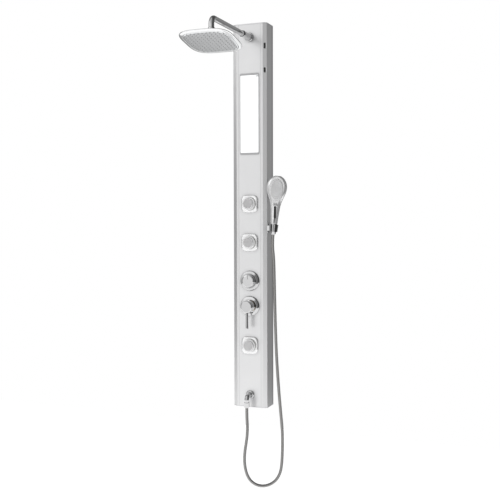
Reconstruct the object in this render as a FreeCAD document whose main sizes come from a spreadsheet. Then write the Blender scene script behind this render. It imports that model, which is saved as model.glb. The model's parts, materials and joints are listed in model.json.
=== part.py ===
import FreeCAD, Part
import math
import os
import Sketcher

os.makedirs("parts", exist_ok=True)
doc = FreeCAD.newDocument("shower_column")
V = FreeCAD.Vector

# ---------------------------------------------------------------- dimensions
# Frame: X to the right, front towards -Y, the wall is the plane Y = 0, +Z up,
# bottom edge of the panel at Z = 0.  Millimetres.
DIMS = [
    ("panel_height", 1500.0), ("panel_width", 140.0), ("panel_depth", 75.0),
    ("sheet_thick", 2.0), ("bevel_width", 15.0), ("bevel_depth", 6.0),
    ("cap_thick", 4.0), ("lip_width", 10.0),
    ("arm_level", 1447.0), ("arm_reach", 360.0), ("arm_radius", 10.0),
    ("arm_bore", 7.5), ("elbow_radius", 24.0), ("ball_drop", 58.0),
    ("ball_radius", 11.0), ("head_half", 98.5), ("head_corner", 58.0),
    ("head_thick", 8.0), ("head_tilt_rest", 12.0),
    ("mirror_level", 1151.5), ("mirror_height", 300.0), ("mirror_width", 76.0),
    ("jet_a_level", 803.0), ("jet_b_level", 652.0), ("jet_c_level", 246.0),
    ("jet_half", 34.0), ("jet_thick", 7.0), ("jet_ball", 22.0),
    ("diverter_level", 501.0), ("mixer_level", 401.0), ("plate_radius", 40.0),
    ("knob_radius", 26.0), ("handle_radius", 23.5), ("lever_length", 88.0),
    ("outlet_level", 50.0), ("outlet_reach", 37.0), ("pipe_radius", 6.0),
    ("holder_level", 708.0), ("holder_x", 95.0), ("holder_y", -64.0),
    ("handset_lean", 5.0), ("handset_turn", 15.0), ("hose_radius", 6.0),
    ("inlet_spacing", 70.0), ("inlet_thread_radius", 10.48),
    ("bracket_height", 60.0), ("bracket_upper", 1250.0), ("bracket_lower", 120.0),
    ("screw_hole_radius", 2.75), ("screw_spacing", 80.0),
]
sheet = doc.addObject("Spreadsheet::Sheet", "dims")
for row, (alias, value) in enumerate(DIMS, start=1):
    sheet.set("A%d" % row, alias)
    sheet.set("B%d" % row, "%g" % value)
    sheet.setAlias("B%d" % row, alias)
doc.recompute()


class Q:
    """A number that also remembers the sheet expression it comes from."""

    def __init__(self, value, expr):
        self.v = float(value)
        self.e = expr

    @staticmethod
    def lift(other):
        if isinstance(other, Q):
            return other
        return Q(other, "(%.6g)" % other if other < 0 else "%.6g" % other)

    def __add__(self, o):
        o = Q.lift(o)
        return Q(self.v + o.v, "(%s + %s)" % (self.e, o.e))

    __radd__ = __add__

    def __sub__(self, o):
        o = Q.lift(o)
        return Q(self.v - o.v, "(%s - %s)" % (self.e, o.e))

    def __rsub__(self, o):
        return Q.lift(o) - self

    def __mul__(self, o):
        o = Q.lift(o)
        return Q(self.v * o.v, "(%s * %s)" % (self.e, o.e))

    __rmul__ = __mul__

    def __truediv__(self, o):
        o = Q.lift(o)
        return Q(self.v / o.v, "(%s / %s)" % (self.e, o.e))

    def __neg__(self):
        return Q(-self.v, "(0 - %s)" % self.e)


def d(alias):
    return Q(float(sheet.get(alias)), "dims." + alias)


def num(q):
    return q.v if isinstance(q, Q) else float(q)


NODES = []


def bind(obj, prop, q):
    if isinstance(q, Q):
        obj.setExpression(prop, q.e)


def place(obj, pos, axis=None, angle=0.0):
    rot = FreeCAD.Rotation(V(*axis), angle) if axis else FreeCAD.Rotation()
    obj.Placement = FreeCAD.Placement(V(*[num(c) for c in pos]), rot)
    for c, name in zip(pos, "xyz"):
        bind(obj, ".Placement.Base." + name, c)


def new_body(label, node=True):
    b = doc.addObject("PartDesign::Body", label)
    b.Label = label
    if node:
        NODES.append(b)
    return b


def group(label, members):
    """Several identical, separate solids that share one node."""
    c = doc.addObject("Part::Compound", label)
    c.Label = label
    c.Links = members
    doc.recompute()
    NODES.append(c)
    return c


def plane_of(body, role):
    for f in body.Origin.OriginFeatures:
        if f.Role == role:
            return f
    raise RuntimeError("no plane " + role)


def sketch(body, role="XY_Plane", offset=None):
    s = body.newObject("Sketcher::SketchObject", body.Label + "_sk")
    s.AttachmentSupport = [(plane_of(body, role), "")]
    s.MapMode = "FlatFace"
    if offset is not None:
        s.AttachmentOffset = FreeCAD.Placement(V(0, 0, num(offset)), FreeCAD.Rotation())
        bind(s, ".AttachmentOffset.Base.z", offset)
    return s


def dimension(s, kind, args, q):
    c = s.addConstraint(Sketcher.Constraint(kind, *args, num(q)))
    if isinstance(q, Q):
        s.setExpression("Constraints[%d]" % c, q.e)


def poly(s, pts):
    """Closed polygon whose corners are dimensioned from the sketch's origin."""
    n = len(pts)
    first = s.GeometryCount
    for i in range(n):
        a, b = pts[i], pts[(i + 1) % n]
        s.addGeometry(Part.LineSegment(V(num(a[0]), num(a[1]), 0), V(num(b[0]), num(b[1]), 0)), False)
    for i in range(n):
        s.addConstraint(Sketcher.Constraint("Coincident", first + i, 2, first + (i + 1) % n, 1))
    for i in range(n):
        x, y = pts[i]
        if num(x) == 0:
            s.addConstraint(Sketcher.Constraint("PointOnObject", first + i, 1, -2))
        else:
            dimension(s, "DistanceX", (-1, 1, first + i, 1), x)
        if num(y) == 0:
            s.addConstraint(Sketcher.Constraint("PointOnObject", first + i, 1, -1))
        else:
            dimension(s, "DistanceY", (-1, 1, first + i, 1), y)


def circle(s, r, cx=0.0, cy=0.0):
    g = s.addGeometry(Part.Circle(V(num(cx), num(cy), 0), V(0, 0, 1), num(r)), False)
    dimension(s, "Radius", (g,), r)
    if num(cx) == 0:
        s.addConstraint(Sketcher.Constraint("PointOnObject", g, 3, -2))
    else:
        dimension(s, "DistanceX", (-1, 1, g, 3), cx)
    if num(cy) == 0:
        s.addConstraint(Sketcher.Constraint("PointOnObject", g, 3, -1))
    else:
        dimension(s, "DistanceY", (-1, 1, g, 3), cy)


def rrect(s, hx, hy, r, cx=0.0, cy=0.0):
    """Rectangle of half sizes hx, hy with rounded corners of radius r."""
    x0, x1, y0, y1 = num(cx) - num(hx), num(cx) + num(hx), num(cy) - num(hy), num(cy) + num(hy)
    q = num(r)
    g = s.GeometryCount
    s.addGeometry(Part.LineSegment(V(x0 + q, y1, 0), V(x1 - q, y1, 0)), False)
    s.addGeometry(Part.LineSegment(V(x1, y1 - q, 0), V(x1, y0 + q, 0)), False)
    s.addGeometry(Part.LineSegment(V(x1 - q, y0, 0), V(x0 + q, y0, 0)), False)
    s.addGeometry(Part.LineSegment(V(x0, y0 + q, 0), V(x0, y1 - q, 0)), False)
    arcs = [((x1 - q, y1 - q), 0, 90), ((x1 - q, y0 + q), -90, 0), ((x0 + q, y0 + q), 180, 270), ((x0 + q, y1 - q), 90, 180)]
    for (c, a, b) in arcs:
        s.addGeometry(Part.ArcOfCircle(Part.Circle(V(c[0], c[1], 0), V(0, 0, 1), q), math.radians(a), math.radians(b)), False)
    T = lambda a, pa, b, pb: s.addConstraint(Sketcher.Constraint("Tangent", a, pa, b, pb))
    T(g, 2, g + 4, 2)
    T(g + 4, 1, g + 1, 1)
    T(g + 1, 2, g + 5, 2)
    T(g + 5, 1, g + 2, 1)
    T(g + 2, 2, g + 6, 2)
    T(g + 6, 1, g + 3, 1)
    T(g + 3, 2, g + 7, 2)
    T(g + 7, 1, g, 1)
    s.addConstraint(Sketcher.Constraint("Horizontal", g))
    s.addConstraint(Sketcher.Constraint("Vertical", g + 1))
    s.addConstraint(Sketcher.Constraint("Horizontal", g + 2))
    s.addConstraint(Sketcher.Constraint("Vertical", g + 3))
    for k in (5, 6, 7):
        s.addConstraint(Sketcher.Constraint("Equal", g + 4, g + k))
    dimension(s, "Radius", (g + 4,), r)
    dimension(s, "DistanceX", (-1, 1, g + 1, 1), cx + hx)
    dimension(s, "DistanceX", (-1, 1, g + 3, 1), cx - hx)
    dimension(s, "DistanceY", (-1, 1, g, 1), cy + hy)
    dimension(s, "DistanceY", (-1, 1, g + 2, 1), cy - hy)


def pad(body, s, length, reverse=False):
    p = body.newObject("PartDesign::Pad", body.Label + "_pad")
    p.Profile = s
    p.Length = num(length)
    bind(p, "Length", length)
    p.Reversed = reverse
    doc.recompute()
    return p


def pocket(body, s, length=None, reverse=False):
    before = body.Shape.Volume
    p = body.newObject("PartDesign::Pocket", body.Label + "_cut")
    p.Profile = s
    if length is None:
        p.Type = 1
        p.Midplane = True
    else:
        p.Length = num(length)
        bind(p, "Length", length)
        p.Reversed = reverse
    doc.recompute()
    if body.Shape.Volume > before - 0.5:
        raise RuntimeError("pocket cut nothing in " + body.Label)
    return p


def turned(label, pts, pos, axis=None, angle=0.0):
    """Turned piece: profile points (radius, y), turned about the local Y axis."""
    b = new_body(label)
    s = sketch(b)
    poly(s, pts)
    r = b.newObject("PartDesign::Revolution", label + "_turn")
    r.Profile = s
    r.ReferenceAxis = (s, ["V_Axis"])
    r.Angle = 360
    place(b, pos, axis, angle)
    doc.recompute()
    return b


def round_edges(body, edges, r, kind="PartDesign::Fillet"):
    f = body.newObject(kind, body.Label + "_edge")
    tip = [o for o in body.Group if o.TypeId.startswith("PartDesign::") and o is not f][-1]
    f.Base = (tip, edges)
    if kind.endswith("Fillet"):
        f.Radius = r
    else:
        f.Size = r
    doc.recompute()
    return f


def edges_where(shape, test):
    return ["Edge%d" % (i + 1) for i, e in enumerate(shape.Edges) if test(e)]


def feature(label, shape):
    f = doc.addObject("Part::Feature", label)
    f.Label = label
    f.Shape = shape
    NODES.append(f)
    return f


def cyl(p0, p1, r):
    a, b = V(*[num(c) for c in p0]), V(*[num(c) for c in p1])
    return Part.makeCylinder(num(r), (b - a).Length, a, b - a)


def route_wire(pts, radii=None, share=0.45, name=None):
    """Straight runs joined by tangent arcs through the points pts."""
    P = [V(*p) for p in pts]
    edges = []
    last = P[0]
    out = []
    for i in range(1, len(P) - 1):
        a, b = P[i - 1] - P[i], P[i + 1] - P[i]
        la, lb = a.Length, b.Length
        a.normalize()
        b.normalize()
        turn = math.pi - a.getAngle(b)
        if radii is None:
            r = share * min(la, lb) / math.tan(turn / 2)
        else:
            r = radii
        t = r * math.tan(turn / 2)
        p0, p1 = P[i] + a * t, P[i] + b * t
        bis = a + b
        bis.normalize()
        mid = P[i] + bis * (r / math.cos(turn / 2) - r)
        if (p0 - last).Length > 1e-4:
            edges.append(Part.LineSegment(last, p0).toShape())
        edges.append(Part.Arc(p0, mid, p1).toShape())
        out.append(round(r, 1))
        last = p1
    edges.append(Part.LineSegment(last, P[-1]).toShape())
    w = Part.Wire(edges)
    if name:
        print(name, "radii", out, "length", round(w.Length, 1))
    return w


def tube(pts, r, bore=None, radii=None, name=None):
    w = route_wire(pts, radii, name=name)
    start = V(*pts[0])
    direction = V(*pts[1]) - start
    outer = Part.Wire([Part.Circle(start, direction, r).toShape()])
    solid = w.makePipeShell([outer], True, False)
    want = math.pi * r * r * w.Length
    if bore:
        inner = Part.Wire([Part.Circle(start, direction, bore).toShape()])
        solid = solid.cut(w.makePipeShell([inner], True, False))
        want = math.pi * (r * r - bore * bore) * w.Length
    if abs(solid.Volume / want - 1) > 0.02:
        raise RuntimeError("tube volume off")
    return solid


W2 = d("panel_width") / 2
D = d("panel_depth")
H = d("panel_height")
T = d("sheet_thick")
CAP = d("cap_thick")
BW, BD = d("bevel_width"), d("bevel_depth")
FACE = -D

# ---------------------------------------------------------------- panel
# Aluminium extrusion: open at the back, flat face between two shallow bevels,
# return lips along the wall that hook on the brackets.
panel = new_body("front_panel")
s = sketch(panel)
LIP = d("lip_width")
poly(s, [(-W2, 0), (-W2, BD - D), (BW - W2, -D), (W2 - BW, -D), (W2, BD - D), (W2, 0),
         (W2 - LIP, 0), (W2 - LIP, -T), (W2 - T, -T), (W2 - T, BD - D + T * 0.7), (W2 - BW, T - D),
         (BW - W2, T - D), (T - W2, BD - D + T * 0.7), (T - W2, -T), (LIP - W2, -T), (LIP - W2, 0)])
pad(panel, s, H - 2 * CAP)
place(panel, (0, 0, CAP))
s = sketch(panel, "XZ_Plane")
circle(s, 12.2, 0, d("arm_level") - CAP)
circle(s, 24.2, 0, d("mixer_level") - CAP)
circle(s, 17.2, 0, d("diverter_level") - CAP)
for lv in ("jet_a_level", "jet_b_level", "jet_c_level"):
    circle(s, 26.3, 0, d(lv) - CAP)
circle(s, 10.2, 0, d("outlet_level") - CAP)
pocket(panel, s)
# oblong openings of the two cover plugs in the right bevel
s = sketch(panel, "XZ_Plane", offset=D + 8)
for lv, hh in ((1411.5, 11.0), (1318.5, 10.0)):
    rrect(s, 5.2, Q.lift(hh), 5.1, W2 - 7.5, Q.lift(lv) - CAP)
pocket(panel, s, 16.0)

# end caps with a spigot that drops inside the extrusion
for label, z0, up in (("top_cap", H - CAP, -1), ("bottom_cap", Q.lift(0), 1)):
    b = new_body(label)
    s = sketch(b)
    poly(s, [(-W2, 0), (-W2, BD - D), (BW - W2, -D), (W2 - BW, -D), (W2, BD - D), (W2, 0)])
    pad(b, s, CAP)
    s = sketch(b)
    g = T + 0.3
    for k in (0.0, 2.2):
        poly(s, [(-(W2 - g - k), -(g + k)), (-(W2 - g - k), BD - D + g + k), (BW - W2 + 0.4 + k * 0.2, g + k - D),
                 (W2 - BW - 0.4 - k * 0.2, g + k - D), (W2 - g - k, BD - D + g + k), (W2 - g - k, -(g + k))])
    if up > 0:
        pad(b, s, CAP + 10)
    else:
        pad(b, s, 10.0, True)
    place(b, (0, 0, z0))

# wall brackets: flat plate against the wall with ears in front of the lips
brackets = []
for label, lv in (("bracket_one", "bracket_upper"), ("bracket_two", "bracket_lower")):
    b = new_body(label, False)
    brackets.append(b)
    s = sketch(b)
    poly(s, [(-58, 0), (-58, -2.2), (-65.5, -2.2), (-65.5, -4.2), (65.5, -4.2), (65.5, -2.2), (58, -2.2), (58, 0)])
    pad(b, s, d("bracket_height"))
    s = sketch(b, "XZ_Plane")
    for k in (-0.5, 0.5):
        circle(s, d("screw_hole_radius"), d("screw_spacing") * k, d("bracket_height") / 2)
    pocket(b, s)
    place(b, (0, 0, d(lv)))
group("wall_brackets", brackets)

# two cover plugs set in the right bevel
tilted = []
ang = math.degrees(math.atan2(num(BD), num(BW)))
for lv, hh in ((1411.5, 10.8), (1318.5, 9.8)):
    k = Part.makeBox(8.6, 2.8, 2 * hh - 8.6, V(-4.3, -1.0, -(hh - 4.3)))
    k = k.fuse([Part.makeCylinder(4.3, 2.8, V(0, -1.0, z), V(0, 1, 0)) for z in (-(hh - 4.3), hh - 4.3)]).removeSplitter()
    k = k.makeFillet(0.6, [e for e in k.Edges if abs(e.CenterOfMass.y + 1.0) < 0.01])
    k.Placement = FreeCAD.Placement(V(num(W2) - 7.5, -(num(D) - 3.0), lv), FreeCAD.Rotation(V(0, 0, 1), ang)).multiply(k.Placement)
    tilted.append(k)

# ---------------------------------------------------------------- mirror
ML, MH, MW = d("mirror_level"), d("mirror_height"), d("mirror_width")
b = new_body("mirror_frame")
s = sketch(b, "XZ_Plane")
rrect(s, MW / 2 + 1.6, MH / 2 + 7, 5.0)
rrect(s, MW / 2, MH / 2, 3.4)
pad(b, s, 2.2)
place(b, (0, FACE, ML))
b = new_body("mirror_glass")
s = sketch(b, "XZ_Plane")
rrect(s, MW / 2 - 0.2, MH / 2 - 0.2, 3.2)
pad(b, s, 1.8)
place(b, (0, FACE, ML))

# ---------------------------------------------------------------- shower arm
AL = d("arm_level")
turned("arm_flange", [(13.4, 0), (13.4, -9), (15.6, -9), (17, -7.4), (17, 0)], (0, FACE, AL))
turned("arm_union", [(10.2, 28), (10.2, -70), (11.4, -73), (13.2, -71.5), (13.2, -1), (12, 0), (12, 28)], (0, FACE, AL))
turned("arm_back_nut", [(12.1, 2.1), (12.1, 8), (18, 8), (18, 2.1)], (0, FACE, AL))
reach = num(d("arm_reach"))
yh = -num(D) - reach
zb = num(AL) - num(d("ball_drop"))
rb = num(d("ball_radius"))
pts = [(0, -num(D) + 20, num(AL)), (0, yh, num(AL)), (0, yh, zb + 22)]
feature("shower_arm", tube(pts, num(d("arm_radius")), num(d("arm_bore")), radii=num(d("elbow_radius")), name="arm"))
# ball stud screwed in the end of the arm: neck and ball, bored for the water
stud = turned("ball_stud", [(3, 26), (3, -9), (5.5, -9.4), (8, -7.4), (10, -4.2), (11, 0), (10.2, 4), (8, 7.4), (5.4, 9.4), (5.4, 15.4), (11.8, 15.4), (11.8, 22), (7.4, 22), (7.4, 26)],
              (0, yh, zb), (1, 0, 0), 90)

# ---------------------------------------------------------------- rain head
# Local frame: origin at the centre of the ball, the head hangs below it.
tilt = -num(d("head_tilt_rest"))
HS, HC = d("head_half"), d("head_corner")
HT = d("head_thick")
HZ = -22.0
ball_c = (0, yh, zb)


def head_place(obj):
    obj.Placement = FreeCAD.Placement(V(*ball_c), FreeCAD.Rotation(V(1, 0, 0), tilt))
    bind(obj, ".Placement.Base.z", AL - d("ball_drop"))
    bind(obj, ".Placement.Base.y", -D - d("arm_reach"))


def sphere_arc(r, a0, a1, n):
    return [(r * math.cos(math.radians(a0 + (a1 - a0) * i / n)), r * math.sin(math.radians(a0 + (a1 - a0) * i / n))) for i in range(n + 1)]


def ring_solid(profile, about="Z"):
    """Turned solid from (radius, height) points about the Z axis."""
    w = Part.makePolygon([V(x, 0, z) for x, z in profile] + [V(profile[0][0], 0, profile[0][1])])
    return Part.Face(w).revolve(V(0, 0, 0), V(0, 0, 1), 360)


# seal ring above the ball, seat ring under it, collar nut round both; the rings
# are zones of one hollow sphere, so the head can turn about the ball's centre
zone = Part.makeSphere(13.0).cut(Part.makeSphere(rb + 0.25))
washer = zone.common(Part.makeCylinder(20, 3.6, V(0, 0, 3.6)))
seat = zone.common(Part.makeCylinder(20, 6.6, V(0, 0, -11.2))).cut(Part.makeCylinder(4.2, 30, V(0, 0, -20)))
collar = Part.makeCylinder(17.5, 17.6, V(0, 0, -12.6)).fuse(Part.makeCone(17.5, 13.2, 4.6, V(0, 0, 5.0))).cut(Part.makeSphere(13.3)).cut(Part.makeCylinder(10.4, 40, V(0, 0, 0)))
flats = Part.makeBox(33, 60, 40, V(-16.5, -30, -20))
for label, shp in (("head_ball_seal", washer), ("head_ball_seat", seat), ("head_collar_nut", collar.common(flats))):
    f = feature(label, shp.removeSplitter())
    head_place(f)

b = new_body("head_shell")
s = sketch(b, "XY_Plane", offset=HZ)
rrect(s, HS, HS, HC)
pad(b, s, HT, True)
s = sketch(b, "XY_Plane", offset=HZ - HT)
rrect(s, HS - 2.2, HS - 2.2, HC - 2.2)
pocket(b, s, HT - 2, True)
s = sketch(b, "XY_Plane", offset=HZ - 0.5)
circle(s, 34)
p = pad(b, s, 4.5)
p.TaperAngle = -62
doc.recompute()
s = sketch(b, "XY_Plane", offset=HZ)
circle(s, 17.3)
circle(s, 13.9)
pad(b, s, 9.2)
s = sketch(b, "XY_Plane")
circle(s, 13.9)
pocket(b, s)
head_place(b)
b = new_body("head_seal")
s = sketch(b, "XY_Plane", offset=HZ - HT + 3.3)
rrect(s, HS - 2.6, HS - 2.6, HC - 2.6)
rrect(s, HS - 6.6, HS - 6.6, HC - 6.6)
pad(b, s, 2.4)
head_place(b)
b = new_body("head_face_plate")
s = sketch(b, "XY_Plane", offset=HZ - HT + 0.6)
rrect(s, HS - 2.6, HS - 2.6, HC - 2.6)
pad(b, s, 2.6)
head_place(b)
zf = HZ - num(HT) + 0.6
step = 14.6
bumps = []
for i in range(-5, 6):
    for j in range(-5, 6):
        x, y = i * step, j * step
        if abs(x) ** 3.4 + abs(y) ** 3.4 <= 84.0 ** 3.4:
            bumps.append(Part.makeCone(2.1, 1.3, 3.4, V(x, y, zf), V(0, 0, -1)))
f = feature("head_nozzles", Part.makeCompound(bumps))
head_place(f)

# ---------------------------------------------------------------- body jets
covers, cups = [], []
for tag, lv in (("a", "jet_a_level"), ("b", "jet_b_level"), ("c", "jet_c_level")):
    name = "jet_%s_" % tag
    pos = (0, FACE, d(lv))
    JB = num(d("jet_ball"))
    b = new_body(name + "cover", False)
    covers.append(b)
    s = sketch(b, "XZ_Plane")
    rrect(s, d("jet_half"), d("jet_half"), 19.0)
    circle(s, 26.4)
    pad(b, s, d("jet_thick"))
    rim = lambda e: e.BoundBox.YMax < -6.9 and not e.Closed and max(abs(e.BoundBox.XMax), abs(e.BoundBox.XMin), abs(e.BoundBox.ZMax), abs(e.BoundBox.ZMin)) > 33
    round_edges(b, edges_where(b.Shape, rim), 5.0)
    place(b, pos)
    cy = -2.0
    cup = Part.makeCylinder(26.0, 28.5, V(0, -5.5, 0), V(0, 1, 0)).fuse(Part.makeCylinder(32.0, 3.0, V(0, 2.1, 0), V(0, 1, 0)))
    cup = cup.cut(Part.makeSphere(24.8, V(0, cy, 0))).cut(Part.makeCylinder(24.2, 10, V(0, -10, 0), V(0, 1, 0)))
    cup = cup.fuse(Part.makeCylinder(9, 5.4, V(0, 23.0, 0), V(0, 1, 0))).cut(Part.makeCylinder(5, 20, V(0, 15, 0), V(0, 1, 0)))
    f = feature(name + "cup", cup.removeSplitter())
    NODES.remove(f)
    cups.append(f)
    place(f, pos)
    ring = Part.makeSphere(24.4, V(0, cy, 0)).cut(Part.makeSphere(22.4, V(0, cy, 0))).common(Part.makeBox(80, 8, 80, V(-40, cy - 3, -40)))
    f = feature(name + "ring", ring)
    place(f, pos)
    ball = Part.makeSphere(JB, V(0, cy, 0)).common(Part.makeBox(80, 26, 80, V(-40, cy - 14, -40)))
    ball = ball.fuse(Part.makeCylinder(14.5, 4.0, V(0, cy - 17.5, 0), V(0, 1, 0)))
    # thin round skirt behind the spray disc; it hides the ball's opening
    skirt = [(13, -12.4), (25.3, -12.4), (26, -13.0), (26, -13.7), (24.6, -14.2), (13, -13.8), (13, -12.4)]
    skirt = Part.Face(Part.makePolygon([V(x, cy + y, 0) for x, y in skirt])).revolve(V(0, 0, 0), V(0, 1, 0), 360)
    disc = Part.makeCylinder(20.0, 5.6, V(0, cy - 22.0, 0), V(0, 1, 0))
    disc = disc.makeFillet(1.0, [e for e in disc.Edges if e.Closed and e.Length > 100])
    ball = ball.fuse([skirt, disc]).cut(Part.makeCylinder(18.7, 2.4, V(0, cy - 22.2, 0), V(0, 1, 0))).cut(Part.makeCylinder(5, 40, V(0, cy - 12, 0), V(0, 1, 0)))
    f = feature(name + "nozzle", ball.removeSplitter())
    place(f, pos)
    padshape = Part.makeCylinder(18.6, 2.2, V(0, cy - 22.0, 0), V(0, 1, 0))
    studs = []
    for rr, nn in ((0, 1), (5.2, 6), (10.4, 12), (15.4, 18)):
        for k in range(nn):
            a = 2 * math.pi * k / nn
            studs.append(Part.makeCone(1.3, 0.8, 1.8, V(rr * math.cos(a), cy - 21.9, rr * math.sin(a)), V(0, -1, 0)))
    f = feature(name + "spray_pad", padshape.fuse(studs).removeSplitter())
    place(f, pos)

group("jet_covers", covers)
group("jet_housings", cups)

# ---------------------------------------------------------------- valves
MZ, DZ = d("mixer_level"), d("diverter_level")
PR = d("plate_radius")
fy = -num(D)
mz, dz = num(MZ), num(DZ)
sp = num(d("inlet_spacing")) / 2
plate = [(24.6, 0), (24.6, -8), (30, -8), (37, -6.6), (PR - 0.8, -3.6), (PR, -1.4), (PR, 0)]
turned("mixer_plate", plate, (0, FACE, MZ))
turned("diverter_plate", [(18.2, 0), (18.2, -8)] + plate[2:], (0, FACE, DZ))

# mixer body: brass, cartridge well on the axis, cross tube with two inlets
body = cyl((0, fy - 3, mz), (0, fy + 34, mz), 22.0)
body = body.fuse([cyl((-sp, fy + 24, mz), (sp, fy + 24, mz), 9.0), cyl((-sp, fy + 24, mz - 12), (-sp, fy + 24, mz + 12), 10.5),
                  cyl((sp, fy + 24, mz - 12), (sp, fy + 24, mz + 12), 10.5), cyl((0, fy + 20, mz), (0, fy + 20, mz + 34), 9.0)])
body = body.cut(cyl((0, fy - 4, mz), (0, fy + 26, mz), 17.6))
feature("mixer_body", body.removeSplitter())
turned("mixer_cartridge", [(0, 26), (0, -2), (17.4, -2), (17.4, 26)], (0, FACE, MZ))
turned("mixer_bonnet", [(11, -2.2), (11, -9), (19.5, -9), (22, -7), (22, -3.2), (17.2, -3.2), (17.2, -2.2)], (0, FACE, MZ))
# carrier turns with the lever for temperature, the handle tips on it for flow
b = turned("mixer_carrier", [(0, -2.4), (0, -29), (6.5, -29), (6.5, -16), (13.5, -16), (13.5, -10), (10.2, -10), (10.2, -2.4)], (0, FACE, MZ))
hr = num(d("handle_radius"))
cap = Part.makeCylinder(hr, 23.5, V(0, -43.5, 0), V(0, 1, 0))
cap = cap.makeFillet(4.0, [e for e in cap.Edges if e.Closed and abs(e.CenterOfMass.y + 43.5) < 0.01])
cap = cap.cut(Part.makeCylinder(20.6, 13.2, V(0, -32.0, 0), V(0, 1, 0)))
cap = cap.cut(Part.makeCylinder(12.0, 8.0, V(0, -38.0, 0), V(0, 1, 0)))
cap.Placement = FreeCAD.Placement(V(0, 0, 0), FreeCAD.Rotation())
f = feature("mixer_handle", cap)
place(f, (0, FACE, MZ))
ll = num(d("lever_length"))
rod = Part.makeCone(4.6, 5.2, ll - 24.0, V(0, -33, -22.0), V(0, 0, -1))
rod = rod.makeFillet(2.0, [e for e in rod.Edges if e.Closed and e.CenterOfMass.z < -60])
rod = rod.cut(Part.makeCylinder(hr + 0.02, 60, V(0, -60, 0), V(0, 1, 0)))
f = feature("mixer_lever", rod)
place(f, (0, FACE, MZ))

body = cyl((0, fy - 3, dz), (0, fy + 36, dz), 16.0)
body = body.fuse([cyl((0, fy + 20, dz - 32), (0, fy + 20, dz + 34), 9.0), cyl((-30, fy + 20, dz), (30, fy + 20, dz), 8.0)])
body = body.cut(cyl((0, fy - 4, dz), (0, fy + 30, dz), 12.1))
feature("diverter_body", body.removeSplitter())
turned("diverter_cartridge", [(0, 29), (0, 2), (5, 2), (5, -2.4), (12, -2.4), (12, 29)], (0, FACE, DZ))
turned("diverter_spindle", [(0, 1.8), (0, -20), (4.8, -20), (4.8, 1.8)], (0, FACE, DZ))
KR = d("knob_radius")
knob = [(4.85, -9.2), (4.85, -20.2), (0, -20.2), (0, -27), (KR - 5, -27), (KR - 2, -25.4), (KR - 0.4, -22), (KR, -13), (KR + 0.8, -10), (KR + 0.8, -9.2)]
b = turned("diverter_knob", knob, (0, FACE, DZ))
s = sketch(b, "XZ_Plane", offset=30)
rrect(s, 1.2, Q.lift(7.0), 1.1, 0, Q.lift(14.0))
pocket(b, s, 4.2)

# ---------------------------------------------------------------- plumbing behind the face
# Short brass link between the two valves
feature("link_pipe", cyl((0, fy + 20, mz + 34), (0, fy + 20, dz - 32), 7.0))
# riser hose from the diverter to the arm union
riser = [(0, fy + 20, dz + 34), (0, fy + 20, dz + 70), (-30, fy + 34, dz + 130), (-38, fy + 44, dz + 260), (-38, fy + 44, 1200), (-30, fy + 52, 1330), (0, fy + 60, 1380), (0, fy + 60, 1432)]
top = V(0, fy + 60, 1432)
feature("riser_hose", tube(riser, 6.5, name="riser"))
feature("riser_elbow", cyl((0, fy + 60, 1432), (0, fy + 60, num(AL) + 10), 9.0).fuse(cyl((0, fy + 60, num(AL)), (0, fy + 28.0, num(AL)), 9.0)).removeSplitter())
# manifold that feeds the three body jets, at the right inside the panel
mx, my = 54.0, fy + 50
man = cyl((mx, my, 226), (mx, my, 823), 6.0)
tees = []
for lv in ("jet_a_level", "jet_b_level", "jet_c_level"):
    z = num(d(lv))
    tees.append(cyl((mx, my, z), (0, my, z), 5.0))
    tees.append(cyl((0, my + 8, z), (0, fy + 28.4, z), 7.5))
tees.append(cyl((mx, my, dz), (mx, fy + 20, dz), 4.4))
tees.append(cyl((mx + 7, fy + 20, dz), (30, fy + 20, dz), 5.6))
feature("jet_manifold", man.fuse(tees).removeSplitter())
# pipe from the diverter to the hand shower outlet, at the left inside the panel
oz = num(d("outlet_level"))
pipe = tube([(-30, fy + 20, dz), (-50, fy + 20, dz), (-50, fy + 20, dz - 60), (-50, fy + 40, dz - 130), (-50, fy + 40, oz + 80), (-50, fy + 30, oz + 30), (-50, fy + 22, oz), (-16, fy + 22, oz)], 5.0, radii=9.0, name="outlet pipe")
feature("outlet_pipe", pipe)
for label, x in (("hot_inlet", -sp), ("cold_inlet", sp)):
    tail = cyl((x, fy + 34.5, mz), (x, -12.0, mz), 9.0).fuse(cyl((x, -12.0, mz), (x, 0.0, mz), num(d("inlet_thread_radius"))))
    tail = tail.cut(cyl((x, fy + 34.0, mz), (x, 1.0, mz), 6.5))
    feature(label, tail.removeSplitter())

# ---------------------------------------------------------------- hose outlet
OR = num(d("outlet_reach"))
turned("outlet_flange", [(9.6, 0), (9.6, -6), (13.5, -5.6), (16, -3.4), (16, 0)], (0, FACE, d("outlet_level")))
feature("outlet_elbow", tube([(0, fy + 28, oz), (0, fy - OR, oz), (0, fy - OR, oz - 24)], 9.0, 6.0, radii=14.0, name="outlet elbow").fuse(cyl((0, fy + 12, oz), (0, fy + 30, oz), 15.9).cut(cyl((0, fy + 10, oz), (0, fy + 32, oz), 8.9))).removeSplitter())
ny, nz = fy - OR, oz - 24
nut = Part.makeCylinder(10.5, 17, V(0, ny, nz - 17)).fuse(Part.makeCone(8.0, 10.5, 4, V(0, ny, nz - 21)))
nut = nut.makeFillet(0.8, [e for e in nut.Edges if e.Closed and abs(e.CenterOfMass.z - nz) < 0.01])
feature("hose_nut_lower", nut)

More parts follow.
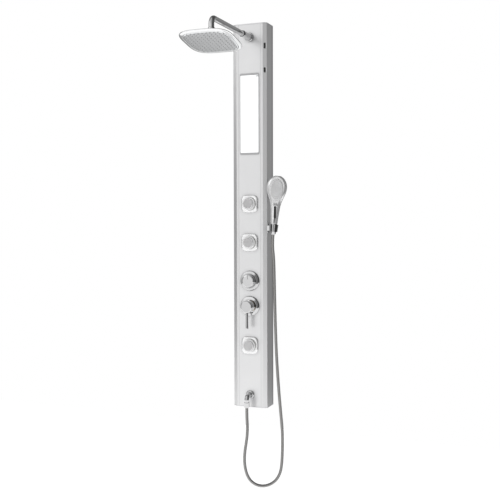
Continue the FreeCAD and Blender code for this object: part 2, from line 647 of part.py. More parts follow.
# ---------------------------------------------------------------- hand shower
hx, hy, hz = num(d("holder_x")), num(d("holder_y")), num(d("holder_level"))
lean = FreeCAD.Rotation(V(0, 1, 0), num(d("handset_lean")))
turn = FreeCAD.Rotation(V(0, 0, 1), num(d("handset_turn")))
HPL = FreeCAD.Placement(V(hx, hy, hz), lean)
HPT = FreeCAD.Placement(V(hx, hy, hz), lean.multiply(turn))
ring = Part.makeCone(15.8, 17.8, 28, V(0, 0, -14)).cut(Part.makeCone(11.3, 13.6, 28.2, V(0, 0, -14.1)))
slot = Part.makeBox(13.5, 40, 60, V(-6.75, -40, -30))
ring = ring.cut(slot)
ring.Placement = HPL
arm = Part.makeBox(18, 18, 20, V(num(W2), hy - 9, hz - 10)).cut(Part.makeCone(14.6, 15.4, 60, V(hx, hy, hz - 30)))
base = Part.makeBox(4, 30, 40, V(num(W2), hy - 4.6, hz - 20))
base = base.makeFillet(3.0, [e for e in base.Edges if abs(e.CenterOfMass.x - num(W2) - 4) < 0.01 or (e.BoundBox.XLength > 3.9)])
holder = ring.fuse([arm, base]).removeSplitter()
core = Part.makeCone(11.3, 13.6, 28.2, V(0, 0, -14.1))
core.Placement = HPL
holder = holder.cut(core)
slot.Placement = HPL
feature("handset_holder", holder)
scr = [cyl((num(W2) - 12, hy + 12, hz + k * 15), (num(W2) - 2.0, hy + 12, hz + k * 15), 2.0).fuse(cyl((num(W2) - 5.0, hy + 12, hz + k * 15), (num(W2) - 2.0, hy + 12, hz + k * 15), 3.6)) for k in (-1, 1)]
feature("holder_screws", Part.makeCompound([x.removeSplitter() for x in scr]))
# cone nut at the end of the hose, sitting in the holder's cone
nutu = ring_solid([(0, -25), (0, 24), (9.4, 24), (9.4, 14.6), (13.2, 14.6), (13.2, 14.0), (10.9, -14), (9.9, -21), (8.2, -25)])
f = feature("hose_nut_upper", nutu)
f.Placement = HPL
# handle and head: lofted ovals, cut flat at the front for the spray face
secs = [(15.0, 12.6, 12.4, 0), (32, 14.4, 13.4, 0), (54, 16.2, 13.6, 0.2), (75, 18.0, 13.9, 0.4), (92, 20.4, 14.8, 0.6), (107, 24.6, 16.0, 1.0),
        (123, 31.0, 17.0, 1.2), (141, 37.0, 17.4, 1.2), (157, 39.2, 17.4, 1.2), (173, 37.2, 16.6, 1.4), (187, 30.6, 14.6, 1.8), (197, 21.0, 11.6, 2.2), (203, 10.5, 6.5, 2.6)]
wires = []
for z, rx, ry, oy in secs:
    e = Part.Ellipse(V(0, oy, z), rx, ry)
    wires.append(Part.Wire([e.toShape()]))
shell = Part.makeLoft(wires, True, False)
# the front is one flat that leans back a little; the face frame lies on it
FRP = FreeCAD.Placement(V(0, -10.6, 149), FreeCAD.Rotation(V(1, 0, 0), -2.2))
cut = Part.makeBox(200, 40, 200, V(-100, -40, -90))
cut.Placement = FRP
shell = shell.cut(cut)
shell = shell.cut(Part.makeCylinder(9.5, 10, V(0, 0, 14.5)))
HPF = HPT.multiply(FRP)
mat = FreeCAD.Matrix()
mat.scale(1.0, 1.0, 42.0 / 25.5)
face = Part.makeCylinder(25.5, 6.0, V(0, 1.8, 0), V(0, -1, 0)).transformGeometry(mat)
face.Placement = FRP
shell = shell.cut(face)
hole = Part.makeBox(14.8, 7.4, 7.0, V(-7.4, -4.0, -60.5))
hole.Placement = FRP
shell = shell.cut(hole)
f = feature("handset_shell", shell)
f.Placement = HPT
face2 = Part.makeCylinder(25.2, 2.5, V(0, 1.7, 0), V(0, -1, 0)).fuse(Part.makeCone(25.2, 23.2, 0.8, V(0, -0.8, 0), V(0, -1, 0))).removeSplitter()
f = feature("handset_spray_face", face2.transformGeometry(mat))
f.Placement = HPF
bumps = []
for k, (rr, nn) in enumerate(((5.5, 8), (11, 16), (16.5, 24), (21.5, 30))):
    for i in range(nn):
        a = 2 * math.pi * (i + 0.5 * (k % 2)) / nn
        x, z = rr * math.cos(a), rr * math.sin(a) * 42.0 / 25.5
        bumps.append(Part.makeCone(1.0, 0.6, 1.6, V(x, -1.6, z), V(0, -1, 0)))
f = feature("handset_nozzles", Part.makeCompound(bumps))
f.Placement = HPF
btn = Part.makeBox(14.0, 4.6, 6.2, V(-7.0, -3.0, -60.1))
btn = btn.makeFillet(1.2, [e for e in btn.Edges if e.BoundBox.YMax < -2.9])
f = feature("handset_button", btn)
f.Placement = HPF
f = feature("side_plugs", Part.makeCompound(tilted))

# ---------------------------------------------------------------- shower hose
# Metal hose: from the lower nut, hanging in a loop below the panel, up beside
# the panel to the cone nut.
hr_ = num(d("hose_radius"))
end = HPL.multVec(V(0, 0, -25))
e2 = HPL.multVec(V(0, 0, -66))
# (distance out from the outlet towards the holder, height)
PLAN = [(0, 5), (0, -35), (3, -78), (-1, -125), (-9, -172), (-10, -218), (-2, -258), (15, -289), (46, -308), (82, -308),
        (114, -290), (133, -258), (139, -212), (141, -150), (140, -85), (134, -20), (128, 50), (122, 130), (117, 215),
        (113.5, 310), (111, 410), (109, 505), (107, 590)]
span = math.hypot(hx, hy - ny)
ROUTE = [(q * hx / span, ny + q * (hy - ny) / span, z) for q, z in PLAN] + [(e2.x, e2.y, e2.z), (end.x, end.y, end.z)]
for pnt in ROUTE:
    print("    (%.1f, %.1f, %.1f)" % pnt)
feature("shower_hose", tube(ROUTE, hr_, name="hose"))
print("hose end", end, "nut bottom", (0, ny, nz - 21))

# ---------------------------------------------------------------- checks and export
doc.recompute()
for o in doc.Objects:
    bad = [x for x in o.State if x in ("Invalid", "Error")]
    if bad:
        raise RuntimeError("%s is %s" % (o.Label, bad))
names = set()
for o in NODES:
    shp = o.Shape
    if shp.isNull() or not shp.isValid() or not shp.Solids:
        raise RuntimeError("bad shape " + o.Label)
    if o.Label in names:
        raise RuntimeError("twice " + o.Label)
    names.add(o.Label)
for o in NODES:
    o.Shape.exportStep("parts/%s.step" % o.Label)
print(len(NODES), "nodes written")
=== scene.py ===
import bpy, bmesh, json, math
from mathutils import Vector, Matrix, Quaternion, noise


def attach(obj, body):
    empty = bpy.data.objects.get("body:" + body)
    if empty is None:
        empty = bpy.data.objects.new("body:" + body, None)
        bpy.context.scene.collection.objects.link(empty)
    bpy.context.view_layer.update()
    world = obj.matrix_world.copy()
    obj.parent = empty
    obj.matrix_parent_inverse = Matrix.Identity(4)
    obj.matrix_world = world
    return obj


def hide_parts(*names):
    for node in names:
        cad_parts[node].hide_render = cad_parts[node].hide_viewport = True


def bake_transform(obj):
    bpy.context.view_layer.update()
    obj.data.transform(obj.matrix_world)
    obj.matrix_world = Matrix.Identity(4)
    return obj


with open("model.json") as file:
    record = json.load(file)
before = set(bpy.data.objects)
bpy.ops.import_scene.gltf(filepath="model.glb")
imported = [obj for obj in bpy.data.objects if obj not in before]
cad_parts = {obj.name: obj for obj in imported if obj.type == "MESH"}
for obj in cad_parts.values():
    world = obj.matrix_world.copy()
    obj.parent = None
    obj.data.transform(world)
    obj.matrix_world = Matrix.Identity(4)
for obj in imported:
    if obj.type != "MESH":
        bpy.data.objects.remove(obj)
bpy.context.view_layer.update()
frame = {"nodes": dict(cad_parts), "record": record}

NODES = frame["nodes"]
SCN = bpy.context.scene


# ------------------------------------------------------------------ helpers
def link(o):
    SCN.collection.objects.link(o)
    return o


def mesh_object(name, verts, faces, smooth=True):
    me = bpy.data.meshes.new(name)
    me.from_pydata([tuple(v) for v in verts], [], faces)
    me.validate()
    me.update()
    if smooth:
        me.polygons.foreach_set("use_smooth", [True] * len(me.polygons))
    return link(bpy.data.objects.new(name, me))


def turned(name, profile, place, segments=96, close=True):
    """Surface of revolution: profile points (radius, height) about the local Z axis, moved by the matrix place."""
    verts, faces, rows = [], [], []
    for r, z in profile:
        if r < 1e-7:
            rows.append([len(verts)])
            verts.append(place @ Vector((0, 0, z)))
        else:
            row = []
            for k in range(segments):
                a = 2 * math.pi * k / segments
                row.append(len(verts))
                verts.append(place @ Vector((r * math.cos(a), r * math.sin(a), z)))
            rows.append(row)
    n = len(rows)
    for i in range(n if close and len(rows[0]) > 1 and len(rows[-1]) > 1 else n - 1):
        a, b = rows[i], rows[(i + 1) % n]
        for k in range(segments):
            k2 = (k + 1) % segments
            if len(a) == 1 and len(b) == 1:
                continue
            if len(a) == 1:
                faces.append((a[0], b[k2], b[k]))
            elif len(b) == 1:
                faces.append((a[k], a[k2], b[0]))
            else:
                faces.append((a[k], a[k2], b[k2], b[k]))
    o = mesh_object(name, verts, faces)
    fix_normals(o)
    return o


def fix_normals(o):
    bm = bmesh.new()
    bm.from_mesh(o.data)
    bmesh.ops.recalc_face_normals(bm, faces=bm.faces[:])
    bm.to_mesh(o.data)
    bm.free()


def arc_pts(cx, cy, r, a0, a1, n=6):
    return [(cx + r * math.cos(math.radians(a0 + (a1 - a0) * i / n)), cy + r * math.sin(math.radians(a0 + (a1 - a0) * i / n))) for i in range(n + 1)]


def facing(x, y, z):
    """Matrix that turns local +Z to -Y (out of the panel's face) at a point given in metres."""
    return Matrix.Translation((x, y, z)) @ Matrix.Rotation(math.radians(90), 4, "X")


# ------------------------------------------------------------------ materials
def nodes_of(m):
    m.use_nodes = True
    nt = m.node_tree
    nt.nodes.clear()
    out = nt.nodes.new("ShaderNodeOutputMaterial")
    p = nt.nodes.new("ShaderNodeBsdfPrincipled")
    nt.links.new(p.outputs[0], out.inputs[0])
    return nt, p


def coords(nt, scale):
    tc = nt.nodes.new("ShaderNodeTexCoord")
    mp = nt.nodes.new("ShaderNodeMapping")
    mp.inputs["Scale"].default_value = scale
    nt.links.new(tc.outputs["Object"], mp.inputs["Vector"])
    return mp.outputs[0]


def tex_noise(nt, vec, scale, detail=4.0, rough=0.5):
    n = nt.nodes.new("ShaderNodeTexNoise")
    n.inputs["Scale"].default_value = scale
    n.inputs["Detail"].default_value = detail
    n.inputs["Roughness"].default_value = rough
    nt.links.new(vec, n.inputs["Vector"])
    return n.outputs["Fac"]


def ramp(nt, fac, stops):
    r = nt.nodes.new("ShaderNodeValToRGB")
    while len(r.color_ramp.elements) < len(stops):
        r.color_ramp.elements.new(0.5)
    for e, (pos, c) in zip(r.color_ramp.elements, stops):
        e.position = pos
        e.color = (c, c, c, 1) if isinstance(c, (int, float)) else tuple(c) + (1,)
    nt.links.new(fac, r.inputs["Fac"])
    return r.outputs["Color"]


def span(nt, fac, lo, hi):
    m = nt.nodes.new("ShaderNodeMapRange")
    m.inputs["To Min"].default_value = lo
    m.inputs["To Max"].default_value = hi
    nt.links.new(fac, m.inputs["Value"])
    return m.outputs["Result"]


def bump(nt, height, strength, distance, normal=None):
    b = nt.nodes.new("ShaderNodeBump")
    b.inputs["Strength"].default_value = strength
    b.inputs["Distance"].default_value = distance
    nt.links.new(height, b.inputs["Height"])
    if normal is not None:
        nt.links.new(normal, b.inputs["Normal"])
    return b.outputs[0]


def soft_edge(nt, radius):
    b = nt.nodes.new("ShaderNodeBevel")
    b.samples = 6
    b.inputs["Radius"].default_value = radius
    return b.outputs[0]


def metal(name, base, rough, grain=None, edge=0.0, spread=0.06, bump_d=0.00002, spots=0.02):
    """Metal: base colour with a faint cloudy change, roughness that varies, and a grain stretched along an axis."""
    m = bpy.data.materials.new(name)
    nt, p = nodes_of(m)
    p.inputs["Metallic"].default_value = 1.0
    cloud = tex_noise(nt, coords(nt, (1, 1, 1)), 9.0, 3.0)
    lo = [c * (1 - spots) for c in base]
    hi = [min(1.0, c * (1 + spots)) for c in base]
    nt.links.new(ramp(nt, cloud, [(0.35, lo), (0.65, hi)]), p.inputs["Base Color"])
    gvec = coords(nt, grain or (900, 900, 900))
    g = tex_noise(nt, gvec, 1.0, 5.0, 0.6)
    nt.links.new(span(nt, g, max(0.01, rough - spread), rough + spread), p.inputs["Roughness"])
    nrm = soft_edge(nt, edge) if edge else None
    nt.links.new(bump(nt, g, 0.35, bump_d, nrm), p.inputs["Normal"])
    return m


def painted_crevice_shade(m, distance, depth):
    """Painted shade: darkens the base colour by ambient occlusion in the seams and gaps between pieces."""
    nt = m.node_tree
    p = [n for n in nt.nodes if n.type == "BSDF_PRINCIPLED"][0]
    # painted shade: ambient occlusion scales the base colour down in crevices
    painted_shade_ao = nt.nodes.new("ShaderNodeAmbientOcclusion")
    painted_shade_ao.samples = 8
    painted_shade_ao.inputs["Distance"].default_value = distance
    mx = nt.nodes.new("ShaderNodeMix")
    mx.data_type = "RGBA"
    mx.blend_type = "MULTIPLY"
    mx.inputs["Factor"].default_value = 1.0
    old = p.inputs["Base Color"].links[0].from_socket
    nt.links.new(old, mx.inputs["A"])
    nt.links.new(span(nt, painted_shade_ao.outputs["AO"], 1.0 - depth, 1.0), mx.inputs["B"])
    nt.links.new(mx.outputs["Result"], p.inputs["Base Color"])
    return m


def painted_reflection_stripe(m, a, b, radius, tone):
    """Painted reflection: a round-ended strip of a darker tone along the line from a to b, in metres, standing in for
    a dark reflection on chrome.
    """
    nt = m.node_tree
    p = [n for n in nt.nodes if n.type == "BSDF_PRINCIPLED"][0]
    a, b = Vector(a), Vector(b)

    def vec(op, first, second):
        n = nt.nodes.new("ShaderNodeVectorMath")
        n.operation = op
        for i, v in enumerate((first, second)):
            if isinstance(v, Vector):
                n.inputs[i].default_value = v
            elif v is not None:
                nt.links.new(v, n.inputs[i])
        return n
    rel = vec("SUBTRACT", coords(nt, (1, 1, 1)), a).outputs["Vector"]
    along = nt.nodes.new("ShaderNodeMath")
    along.operation = "MULTIPLY"
    along.use_clamp = True
    along.inputs[1].default_value = 1.0
    nt.links.new(vec("DOT_PRODUCT", rel, (b - a) / (b - a).length_squared).outputs["Value"], along.inputs[0])
    step = nt.nodes.new("ShaderNodeVectorMath")
    step.operation = "SCALE"
    step.inputs[0].default_value = b - a
    nt.links.new(along.outputs[0], step.inputs["Scale"])
    away = vec("SUBTRACT", rel, step.outputs["Vector"]).outputs["Vector"]
    edge = nt.nodes.new("ShaderNodeMapRange")
    edge.inputs["From Min"].default_value = radius - 0.0007
    edge.inputs["From Max"].default_value = radius + 0.0007
    edge.inputs["To Min"].default_value = 1.0
    edge.inputs["To Max"].default_value = 0.0
    nt.links.new(vec("LENGTH", away, None).outputs["Value"], edge.inputs["Value"])
    mx = nt.nodes.new("ShaderNodeMix")
    mx.data_type = "RGBA"
    old = p.inputs["Base Color"].links[0].from_socket
    nt.links.new(old, mx.inputs["A"])
    mx.inputs["B"].default_value = (tone, tone, tone, 1)
    nt.links.new(edge.outputs["Result"], mx.inputs["Factor"])
    nt.links.new(mx.outputs["Result"], p.inputs["Base Color"])
    return m


def plastic(name, base, rough, edge=0.0, coat=0.0, grain=1500.0, bump_d=0.00003, spots=0.05, metallic=0.0):
    m = bpy.data.materials.new(name)
    nt, p = nodes_of(m)
    cloud = tex_noise(nt, coords(nt, (1, 1, 1)), 35.0, 4.0)
    nt.links.new(ramp(nt, cloud, [(0.3, [c * (1 - spots) for c in base]), (0.7, [min(1.0, c * (1 + spots)) for c in base])]), p.inputs["Base Color"])
    g = tex_noise(nt, coords(nt, (1, 1, 1)), grain, 3.0)
    nt.links.new(span(nt, g, rough - 0.05, rough + 0.05), p.inputs["Roughness"])
    p.inputs["Coat Weight"].default_value = coat
    p.inputs["Metallic"].default_value = metallic
    nrm = soft_edge(nt, edge) if edge else None
    nt.links.new(bump(nt, g, 0.3, bump_d, nrm), p.inputs["Normal"])
    return m


M = {}


def panel_metal():
    """Brushed extrusion: two faint drawn grooves along the face (bumped, with painted shade in them), a slightly
    darker strip outside each, a darker rear strip on each side, and painted shade around the parts mounted on the
    face.
    """
    m = metal("satin_brushed_aluminium", (0.78, 0.78, 0.785), 0.36, grain=(1500, 1500, 9), edge=0.0012, spread=0.05, bump_d=0.00004, spots=0.012)
    nt = m.node_tree
    p = [n for n in nt.nodes if n.type == "BSDF_PRINCIPLED"][0]
    sep = nt.nodes.new("ShaderNodeSeparateXYZ")
    nt.links.new(coords(nt, (1, 1, 1)), sep.inputs[0])

    def mth(op, a, b):
        n = nt.nodes.new("ShaderNodeMath")
        n.operation = op
        for i, v in enumerate((a, b)):
            if isinstance(v, (int, float)):
                n.inputs[i].default_value = v
            else:
                nt.links.new(v, n.inputs[i])
        return n.outputs[0]

    ax = mth("ABSOLUTE", sep.outputs["X"], 0.0)
    # painted shade: the drawn grooves are darkened in colour as well as bumped
    line = mth("SUBTRACT", 1.0, mth("MINIMUM", mth("DIVIDE", mth("ABSOLUTE", mth("SUBTRACT", ax, 0.0455), 0.0), 0.0016), 1.0))
    edge = mth("MULTIPLY", mth("GREATER_THAN", ax, 0.0465), mth("LESS_THAN", ax, 0.0549))
    side = mth("MULTIPLY", mth("GREATER_THAN", ax, 0.0698), mth("GREATER_THAN", sep.outputs["Y"], -0.017))
    dark = mth("ADD", mth("ADD", mth("MULTIPLY", line, 0.16), mth("MULTIPLY", edge, 0.035)), mth("MULTIPLY", side, 0.22))
    # painted shade: ambient occlusion darkens the face around the jets, knobs and flange
    painted_shade_ao = nt.nodes.new("ShaderNodeAmbientOcclusion")
    painted_shade_ao.samples = 8
    painted_shade_ao.inputs["Distance"].default_value = 0.014
    keep = mth("MULTIPLY", mth("SUBTRACT", 1.0, dark), mth("ADD", mth("MULTIPLY", painted_shade_ao.outputs["AO"], 0.62), 0.38))
    old = p.inputs["Base Color"].links[0].from_socket
    mx = nt.nodes.new("ShaderNodeMix")
    mx.data_type = "RGBA"
    mx.blend_type = "MULTIPLY"
    mx.inputs["Factor"].default_value = 1.0
    nt.links.new(old, mx.inputs["A"])
    nt.links.new(keep, mx.inputs["B"])
    nt.links.new(mx.outputs["Result"], p.inputs["Base Color"])
    old_n = p.inputs["Normal"].links[0].from_socket
    nt.links.new(bump(nt, mth("SUBTRACT", 1.0, line), 0.5, 0.0004, old_n), p.inputs["Normal"])
    return m


M["panel_aluminium"] = panel_metal()
M["cap_grey"] = metal("satin_cap", (0.70, 0.70, 0.71), 0.36, grain=(700, 700, 700), edge=0.0008)
M["bracket_steel"] = metal("zinc_plated_steel", (0.60, 0.61, 0.62), 0.38, grain=(60, 60, 60), edge=0.0004, spots=0.08)
# The chrome and chromed plastics below get painted shade in their base colour where pieces meet.
M["chrome"] = painted_crevice_shade(metal("polished_chrome", (0.66, 0.66, 0.665), 0.055, grain=(60, 60, 60), edge=0.0006, spread=0.015, bump_d=0.00001, spots=0.01), 0.014, 0.82)
M["chrome_abs"] = painted_crevice_shade(metal("chromed_plastic", (0.88, 0.885, 0.89), 0.085, grain=(40, 40, 40), edge=0.0006, spread=0.02, bump_d=0.00002, spots=0.012), 0.005, 0.6)
M["head_steel"] = metal("polished_steel", (0.80, 0.81, 0.82), 0.16, grain=(300, 300, 300), edge=0.0006, spread=0.04, bump_d=0.00001, spots=0.02)
M["cover_chrome"] = painted_crevice_shade(plastic("polished_cover_chrome", (0.96, 0.96, 0.965), 0.22, edge=0.0008, coat=0.4, metallic=0.72, spots=0.01), 0.005, 0.6)
M["shell_chrome"] = painted_crevice_shade(plastic("hand_shower_chrome", (0.95, 0.95, 0.955), 0.16, edge=0.0006, coat=0.4, metallic=0.52, spots=0.01), 0.004, 0.6)
# Painted reflection: two dark stripes down the hand shower's handle stand in for the chrome's reflection of dark
# surroundings.
painted_reflection_stripe(M["shell_chrome"], (0.1038, -0.0764, 0.7480), (0.1012, -0.0763, 0.7300), 0.0030, 0.22)
painted_reflection_stripe(M["shell_chrome"], (0.1054, -0.0770, 0.7890), (0.1042, -0.0764, 0.7500), 0.0046, 0.035)
M["jet_chrome"] = painted_crevice_shade(plastic("satin_chromed_plastic", (0.97, 0.97, 0.975), 0.34, edge=0.0006, coat=0.3, metallic=0.30, spots=0.01), 0.004, 0.22)
M["mirror"] = metal("mirror_glass", (0.96, 0.97, 0.97), 0.012, grain=(5, 5, 5), edge=0.0005, spread=0.004, bump_d=0.000002, spots=0.004)
M["frame_grey"] = plastic("mirror_tape_grey", (0.55, 0.55, 0.56), 0.45, edge=0.0004)
M["silicone_grey"] = plastic("silicone_nipples", (0.45, 0.45, 0.455), 0.42, grain=900.0)
M["silicone_light"] = plastic("silicone_pads", (0.66, 0.655, 0.66), 0.44, grain=900.0, metallic=0.25)
M["face_grey"] = plastic("satin_spray_face", (0.86, 0.86, 0.865), 0.34, edge=0.0004, coat=0.2, metallic=0.45)
M["black_plastic"] = plastic("black_plastic", (0.02, 0.02, 0.021), 0.30, edge=0.0003)
M["inner_plastic"] = plastic("moulded_acetal", (0.74, 0.74, 0.71), 0.42, edge=0.0003)
M["brass"] = metal("cast_brass", (0.72, 0.55, 0.30), 0.30, grain=(180, 180, 180), edge=0.0004, spread=0.1, bump_d=0.00006, spots=0.1)
M["black_rubber"] = plastic("black_rubber", (0.018, 0.018, 0.018), 0.6, grain=500.0)
M["hose_steel"] = metal("hose_steel", (0.33, 0.325, 0.32), 0.22, grain=(200, 200, 200), spread=0.06, bump_d=0.00002, spots=0.03)

SLOT = {s["node"]: s["material_slot"] for s in frame["record"]["subparts"]}
for n, o in NODES.items():
    o.data.materials.clear()
    o.data.materials.append(M["silicone_light" if n.endswith("spray_pad") else "cover_chrome" if n == "jet_covers" else "shell_chrome" if n == "handset_shell"
                            else "jet_chrome" if n.startswith("jet_") and n.endswith("_nozzle") else SLOT[n]])


def dress(o, slot, body):
    o.data.materials.append(M[slot])
    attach(o, body)
    return o


# ------------------------------------------------------------------ camera
YAW, PITCH, ROLL = math.radians(21.4446), math.radians(-2.6952), math.radians(-0.1426)
dirn = Vector((-math.sin(YAW) * math.cos(PITCH), math.cos(YAW) * math.cos(PITCH), math.sin(PITCH)))
right = Vector((math.cos(YAW), math.sin(YAW), 0))
up = right.cross(dirn)
right2 = math.cos(ROLL) * right + math.sin(ROLL) * up
up2 = -math.sin(ROLL) * right + math.cos(ROLL) * up
cam_data = bpy.data.cameras.new("camera")
cam_data.sensor_width = 36.0
cam_data.lens = 820.207 * 36.0 / 500.0
cam_data.clip_end = 50.0
cam = link(bpy.data.objects.new("camera", cam_data))
back = -dirn
cam.matrix_world = Matrix(((right2.x, up2.x, back.x, 1.17558), (right2.y, up2.y, back.y, -3.06692), (right2.z, up2.z, back.z, 0.77319), (0, 0, 0, 1)))
SCN.camera = cam

# ------------------------------------------------------------------ shower hose
# Control points of the hanging hose, from the outlet's nut to the cone nut.
ROUTE = [
    (0.0, -0.112, 0.005), (0.0, -0.112, -0.035), (0.0027, -0.1106, -0.078), (-0.0009, -0.1125, -0.125),
    (-0.0080, -0.1161, -0.172), (-0.0089, -0.1165, -0.218), (-0.0018, -0.1129, -0.258), (0.0134, -0.1052, -0.289),
    (0.0411, -0.0913, -0.308), (0.0732, -0.0750, -0.308), (0.1017, -0.0606, -0.290), (0.1187, -0.0520, -0.258),
    (0.1241, -0.0493, -0.212), (0.1258, -0.0484, -0.150), (0.1250, -0.0489, -0.085), (0.1196, -0.0516, -0.020),
    (0.1142, -0.0543, 0.050), (0.1089, -0.0570, 0.130), (0.1044, -0.0592, 0.215), (0.1013, -0.0608, 0.310),
    (0.0991, -0.0619, 0.410), (0.0973, -0.0628, 0.505), (0.0955, -0.0637, 0.590), (0.0892, -0.0640, 0.6423),
    (0.0928, -0.0640, 0.6831),
]


def route_line(points):
    cu = bpy.data.curves.new("hose_route", "CURVE")
    cu.dimensions = "3D"
    sp = cu.splines.new("NURBS")
    sp.points.add(len(points) - 1)
    for p, c in zip(sp.points, points):
        p.co = (c[0], c[1], c[2], 1.0)
    sp.order_u = 3
    sp.use_endpoint_u = True
    sp.resolution_u = 24
    ob = link(bpy.data.objects.new("hose_route", cu))
    bpy.context.view_layer.update()
    me = bpy.data.meshes.new_from_object(ob)
    pts = [v.co.copy() for v in me.vertices]
    bpy.data.meshes.remove(me)
    bpy.data.objects.remove(ob)
    bpy.data.curves.remove(cu)
    return pts


def even(pts, step):
    out = [pts[0].copy()]
    left = step
    for a, b in zip(pts, pts[1:]):
        seg = b - a
        ln = seg.length
        pos = 0.0
        while ln - pos >= left:
            pos += left
            out.append(a + seg * (pos / ln))
            left = step
        left -= ln - pos
    if (out[-1] - pts[-1]).length > step * 0.3:
        out.append(pts[-1].copy())
    else:
        out[-1] = pts[-1].copy()
    return out


line = route_line(ROUTE)
PITCH_H = 0.0029
path = even(line, PITCH_H / 5.0)
R_H = 0.0060
SIDES = 20
verts, faces = [], []
tang = [(path[min(i + 1, len(path) - 1)] - path[max(i - 1, 0)]).normalized() for i in range(len(path))]
nrm = tang[0].orthogonal().normalized()
s_at = 0.0
for i, p in enumerate(path):
    if i:
        s_at += (p - path[i - 1]).length
        nrm = (nrm - tang[i] * nrm.dot(tang[i])).normalized()
    bi = tang[i].cross(nrm)
    for k in range(SIDES):
        a = 2 * math.pi * k / SIDES
        ph = (s_at / PITCH_H + k / SIDES) % 1.0
        # interlocked strip: a rounded crest with a narrow groove between turns
        crest = math.sin(math.pi * min(1.0, ph / 0.80)) ** 0.5 if ph < 0.80 else 0.0
        r = R_H - 0.00075 * (1.0 - crest)
        verts.append(p + (nrm * math.cos(a) + bi * math.sin(a)) * r)
for i in range(len(path) - 1):
    for k in range(SIDES):
        k2 = (k + 1) % SIDES
        faces.append((i * SIDES + k, i * SIDES + k2, (i + 1) * SIDES + k2, (i + 1) * SIDES + k))
faces.append(tuple(range(SIDES - 1, -1, -1)))
faces.append(tuple((len(path) - 1) * SIDES + k for k in range(SIDES)))
hose = mesh_object("metal_hose", verts, faces)
hose.data.materials.append(M["hose_steel"])
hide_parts("shower_hose")
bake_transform(hose)

# ------------------------------------------------------------------ rain head
# Local frame: origin at the centre of the ball, tilted so that the front edge is up.
HEAD = Matrix.Translation((0, -0.435, 1.389)) @ Matrix.Rotation(math.radians(-12), 4, "X")
HALF, POWER = 0.0986, 3.56


def outline(a):
    c, s = abs(math.cos(a)), abs(math.sin(a))
    return HALF * (c ** POWER + s ** POWER) ** (-1.0 / POWER)


def head_mesh(name, rings, seg=160):
    """Rings of (share of the outline 0..1, scale or radius, height); share 0 is a circle."""
    verts, faces, rows = [], [], []
    for share, size, z in rings:
        if size == 0:
            rows.append([len(verts)])
            verts.append(HEAD @ Vector((0, 0, z)))
            continue
        row = []
        for k in range(seg):
            a = 2 * math.pi * k / seg
            r = (1 - share) * size + share * size * outline(a)
            row.append(len(verts))
            verts.append(HEAD @ Vector((r * math.cos(a), r * math.sin(a), z)))
        rows.append(row)
    for a, b in zip(rows, rows[1:]):
        for k in range(seg):
            k2 = (k + 1) % seg
            if len(a) == 1:
                faces.append((a[0], b[k2], b[k]))
            elif len(b) == 1:
                faces.append((a[k], a[k2], b[0]))
            else:
                faces.append((a[k], a[k2], b[k2], b[k]))
    if len(rows[0]) > 1 and len(rows[-1]) > 1:
        a, b = rows[-1], rows[0]
        for k in range(seg):
            k2 = (k + 1) % seg
            faces.append((a[k], a[k2], b[k2], b[k]))
    o = mesh_object(name, verts, faces)
    fix_normals(o)
    return o


shell_rings = [(0, 0.0139, -0.0128), (0, 0.0166, -0.0128), (0, 0.0173, -0.0134), (0, 0.0173, -0.0172), (0, 0.0188, -0.0184), (0, 0.0230, -0.0191),
               (0, 0.0300, -0.0199), (0, 0.0380, -0.0206)]
for t in range(1, 9):
    u = t / 8.0
    shell_rings.append((1, 0.42 + 0.54 * u, -0.0208 - 0.0026 * u ** 2))
shell_rings += [(1, 0.982, -0.0239), (1, 0.993, -0.0245), (1, 0.999, -0.0254), (1, 1.0, -0.0262), (1, 0.997, -0.0270), (1, 0.988, -0.0279),
                (1, 0.972, -0.0288), (1, 0.95, -0.0296), (1, 0.925, -0.0302), (1, 0.90, -0.0306), (1, 0.885, -0.03075), (1, 0.878, -0.0305),
                (1, 0.874, -0.0299), (1, 0.873, -0.0280), (1, 0.86, -0.0262), (1, 0.5, -0.0246), (0, 0.0180, -0.0236), (0, 0.0139, -0.0236)]
head_body = head_mesh("rain_head_body", shell_rings)
dress(head_body, "chrome_abs", "rain_head")
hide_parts("head_shell")

plate_rings = [(1, 0, -0.0271), (1, 0.5, -0.0271), (1, 0.868, -0.0271), (1, 0.869, -0.0275), (1, 0.869, -0.0296), (1, 0.864, -0.0299), (1, 0.80, -0.0301),
               (1, 0.6, -0.0304), (1, 0.4, -0.0306), (1, 0.2, -0.0307), (1, 0, -0.0307)]
head_plate = head_mesh("rain_head_plate", plate_rings)
dress(head_plate, "head_steel", "rain_head")
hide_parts("head_face_plate")

# ------------------------------------------------------------------ studio
def stage_plane():
    bm = bmesh.new()
    bmesh.ops.create_grid(bm, x_segments=24, y_segments=24, size=3.2)
    me = bpy.data.meshes.new("studio_floor")
    bm.to_mesh(me)
    bm.free()
    o = link(bpy.data.objects.new("studio_floor", me))
    o.location = (0, -1.6, -0.55)
    m = bpy.data.materials.new("pale_floor")
    nt, p = nodes_of(m)
    n = tex_noise(nt, coords(nt, (1, 1, 1)), 1.5, 2.0)
    nt.links.new(ramp(nt, n, [(0.3, (0.93, 0.93, 0.93)), (0.7, (0.95, 0.95, 0.95))]), p.inputs["Base Color"])
    p.inputs["Roughness"].default_value = 0.9
    p.inputs["Specular IOR Level"].default_value = 0.0
    p.inputs["Emission Color"].default_value = (1, 1, 1, 1)
    p.inputs["Emission Strength"].default_value = 0.8
    o.data.materials.append(m)
    return o


stage_plane()


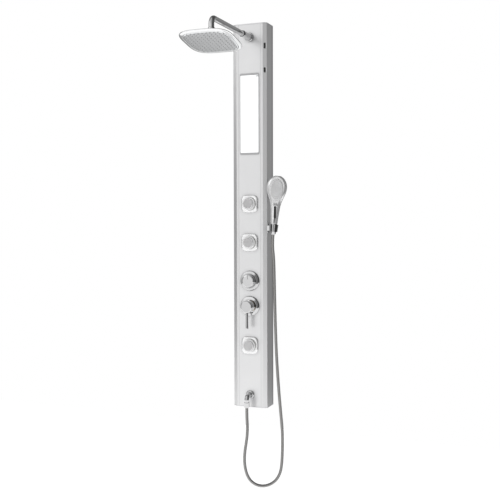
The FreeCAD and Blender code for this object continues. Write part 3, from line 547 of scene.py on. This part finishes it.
def studio_world():
    """White studio: bright in front and on the left, darker behind and on the right, so that metal has contrast."""
    w = bpy.data.worlds.new("studio")
    SCN.world = w
    w.use_nodes = True
    nt = w.node_tree
    nt.nodes.clear()
    out = nt.nodes.new("ShaderNodeOutputWorld")
    tc = nt.nodes.new("ShaderNodeTexCoord")
    sep = nt.nodes.new("ShaderNodeSeparateXYZ")
    nt.links.new(tc.outputs["Generated"], sep.inputs[0])

    def mth(op, a, b=None):
        n = nt.nodes.new("ShaderNodeMath")
        n.operation = op
        for i, v in enumerate((a, b)):
            if v is None:
                continue
            if isinstance(v, (int, float)):
                n.inputs[i].default_value = v
            else:
                nt.links.new(v, n.inputs[i])
        return n.outputs[0]

    ang = mth("ARCTAN2", sep.outputs["X"], mth("MULTIPLY", sep.outputs["Y"], -1.0))
    fac = mth("ADD", mth("DIVIDE", ang, 2 * math.pi), 0.5)

    def around(stops):
        return ramp(nt, fac, [((a + 180) / 360.0, v) for a, v in stops])

    # level with the object: two softboxes with a narrow gap between them, dark to the right
    level = around([(-180, 0.62), (-150, 0.32), (-125, 0.34), (-85, 0.26), (-64, 0.30), (-46, 0.66), (-36, 1.12), (-21, 1.18), (-8, 1.08), (-4, 0.22), (3, 0.22),
                    (7, 0.74), (22, 0.64), (45, 0.30), (62, 0.07), (95, 0.04), (125, 0.12), (150, 0.28), (163, 0.36), (180, 0.62)])
    low = around([(-180, 1.15), (-163, 0.85), (-148, 0.52), (-120, 0.40), (-70, 0.55), (-30, 0.85), (0, 0.7), (50, 0.30), (95, 0.12), (140, 0.35), (165, 0.85), (180, 1.15)])
    high = around([(-180, 0.16), (-150, 0.10), (-110, 0.20), (-60, 0.50), (-25, 0.80), (10, 0.60), (50, 0.25), (90, 0.08), (140, 0.10), (180, 0.16)])
    el = mth("ARCSINE", sep.outputs["Z"])
    elf = mth("ADD", mth("DIVIDE", el, math.pi), 0.5)
    w_low = ramp(nt, elf, [(0.0, 1.0), (0.31, 1.0), (0.42, 0.0), (1.0, 0.0)])
    w_high = ramp(nt, elf, [(0.0, 0.0), (0.57, 0.0), (0.68, 1.0), (1.0, 1.0)])

    def blend(f, a, b):
        n = nt.nodes.new("ShaderNodeMix")
        n.data_type = "RGBA"
        nt.links.new(f, n.inputs["Factor"])
        nt.links.new(a, n.inputs["A"])
        nt.links.new(b, n.inputs["B"])
        return n.outputs["Result"]

    fall = ramp(nt, elf, [(0.0, 0.64), (0.42, 0.64), (0.478, 0.89), (0.50, 0.98), (0.522, 1.07), (0.57, 1.10), (1.0, 1.10)])
    mul = nt.nodes.new("ShaderNodeMix")
    mul.data_type = "RGBA"
    mul.blend_type = "MULTIPLY"
    mul.inputs["Factor"].default_value = 1.0
    nt.links.new(level, mul.inputs["A"])
    nt.links.new(fall, mul.inputs["B"])
    sky = blend(w_high, blend(w_low, mul.outputs["Result"], low), high)
    env = nt.nodes.new("ShaderNodeBackground")
    nt.links.new(sky, env.inputs["Color"])
    env.inputs["Strength"].default_value = 0.95
    white = nt.nodes.new("ShaderNodeBackground")
    white.inputs["Color"].default_value = (1, 1, 1, 1)
    white.inputs["Strength"].default_value = 1.0
    lp = nt.nodes.new("ShaderNodeLightPath")
    ms = nt.nodes.new("ShaderNodeMixShader")
    nt.links.new(lp.outputs["Is Camera Ray"], ms.inputs[0])
    nt.links.new(env.outputs[0], ms.inputs[1])
    nt.links.new(white.outputs[0], ms.inputs[2])
    nt.links.new(ms.outputs[0], out.inputs[0])


studio_world()


def area(name, loc, target, size, power):
    l = bpy.data.lights.new(name, "AREA")
    l.shape = "RECTANGLE"
    l.size, l.size_y = size
    l.energy = power
    o = link(bpy.data.objects.new(name, l))
    o.location = loc
    o.rotation_mode = "QUATERNION"
    o.rotation_quaternion = (Vector(target) - Vector(loc)).to_track_quat("-Z", "Y")
    return o


area("key_soft", (-2.8, -1.9, 2.6), (0, 0, 0.8), (1.4, 2.0), 9)

SCN.view_settings.view_transform = "Standard"
SCN.view_settings.look = "None"
SCN.view_settings.exposure = 0.0

# ------------------------------------------------------------------ finish
bpy.context.view_layer.update()
